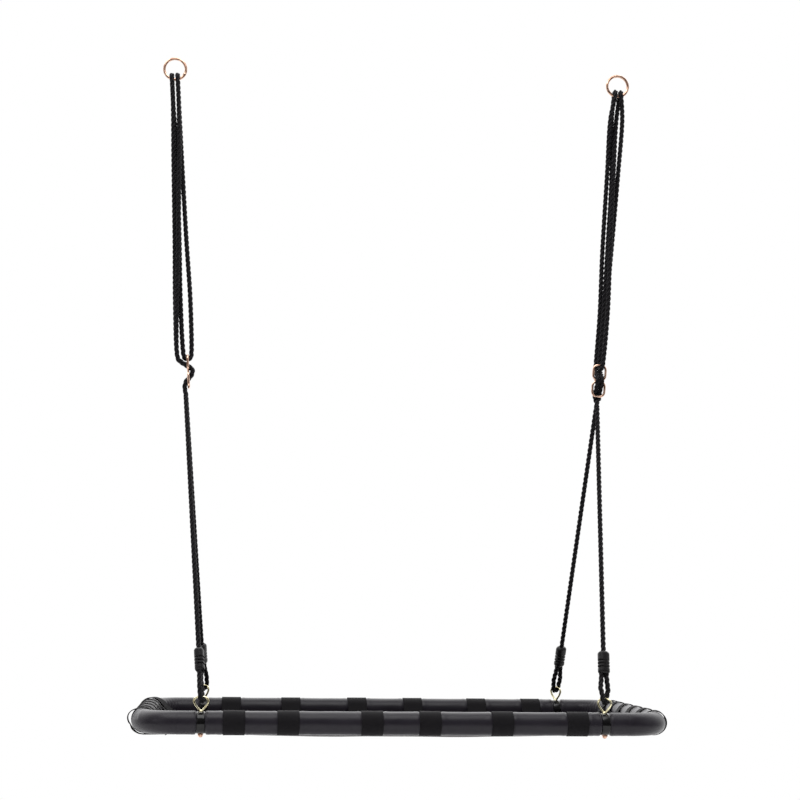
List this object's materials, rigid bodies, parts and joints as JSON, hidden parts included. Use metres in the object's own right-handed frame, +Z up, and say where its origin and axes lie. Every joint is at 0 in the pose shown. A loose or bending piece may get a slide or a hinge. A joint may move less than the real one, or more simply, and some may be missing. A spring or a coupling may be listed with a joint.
{
  "type": "platform swing",
  "caption": "Rectangular platform swing: padded tube frame with a sagging mat, hung from rings on ropes with sliding figure-of-eight adjusters.",
  "frame": {"origin": "midway between the two hanging rings, at the height where each rests on its hook, inside the top of its wire", "axes": "+X along the long side of the seat, to the right seen from the front; -Y towards the front; +Z up"},
  "size_m": [1.2308, 0.6562, 1.6603],
  "materials": {
    "copper_plate": "bright copper-coloured plating",
    "yellow_zinc": "bright yellow zinc plating",
    "frame_steel": "plain drawn steel tube",
    "rope": "black three-strand twisted rope",
    "webbing": "black woven webbing",
    "mat_fabric": "dark coated fabric",
    "foam_sleeve": "satin charcoal foam sleeve",
    "black_plastic": "moulded black plastic"
  },
  "bodies": {
    "hanging_rings": {"left_ring": "copper_plate", "right_ring": "copper_plate"},
    "rope_tops": {"left_upper_rope": "rope", "right_upper_rope": "rope"},
    "left_adjuster": {"left_adjuster": "copper_plate"},
    "right_adjuster": {"right_adjuster": "copper_plate"},
    "seat": {"front_left_rope": "rope", "front_left_rope_eye": "rope", "front_left_clamp_sleeve": "black_plastic", "front_left_eye_bolt": "yellow_zinc", "front_left_saddle_band": "black_plastic", "front_left_dome_nut": "copper_plate", "front_right_rope": "rope", "front_right_rope_eye": "rope", "front_right_clamp_sleeve": "black_plastic", "front_right_eye_bolt": "yellow_zinc", "front_right_saddle_band": "black_plastic", "front_right_dome_nut": "copper_plate", "rear_left_rope": "rope", "rear_left_rope_eye": "rope", "rear_left_clamp_sleeve": "black_plastic", "rear_left_eye_bolt": "yellow_zinc", "rear_left_saddle_band": "black_plastic", "rear_left_dome_nut": "copper_plate", "rear_right_rope": "rope", "rear_right_rope_eye": "rope", "rear_right_clamp_sleeve": "black_plastic", "rear_right_eye_bolt": "yellow_zinc", "rear_right_saddle_band": "black_plastic", "rear_right_dome_nut": "copper_plate", "front_rail": "frame_steel", "front_rail_foam": "foam_sleeve", "rear_rail": "frame_steel", "rear_rail_foam": "foam_sleeve", "left_bow": "frame_steel", "left_bow_foam": "foam_sleeve", "right_bow": "frame_steel", "right_bow_foam": "foam_sleeve", "mat": "mat_fabric", "front_tab_1": "webbing", "front_tab_2": "webbing", "front_tab_3": "webbing", "front_tab_4": "webbing", "front_tab_5": "webbing", "front_tab_6": "webbing", "rear_tab_1": "webbing", "rear_tab_2": "webbing", "rear_tab_3": "webbing", "rear_tab_4": "webbing", "rear_tab_5": "webbing", "rear_tab_6": "webbing", "left_lacing_strap": "webbing", "right_lacing_strap": "webbing"}
  },
  "joints": [
    {"name": "swing", "type": "hinge", "parent": "hanging_rings", "child": "rope_tops", "pos_m": [0, 0, -0.0495], "axis": [1, 0, 0], "range_deg": [-50, 50]},
    {"name": "left_adjuster_slide", "type": "slide", "parent": "rope_tops", "child": "left_adjuster", "axis": [0, 0, 1], "range_m": [-0.1, 0.4], "deforming": ["left_upper_rope"]},
    {"name": "right_adjuster_slide", "type": "slide", "parent": "rope_tops", "child": "right_adjuster", "axis": [0, 0, 1], "range_m": [-0.1, 0.4], "deforming": ["right_upper_rope"]},
    {"name": "seat_height", "type": "slide", "parent": "left_adjuster", "child": "seat", "axis": [0, 0, -1], "range_m": [-0.2105, 0.845], "deforming": ["front_left_rope", "front_right_rope", "rear_left_rope", "rear_right_rope"]}
  ],
  "couplings": [
    {"joint": "right_adjuster_slide", "follows": "left_adjuster_slide", "ratio": 1},
    {"joint": "seat_height", "follows": "left_adjuster_slide", "ratio": 2.1}
  ]
}
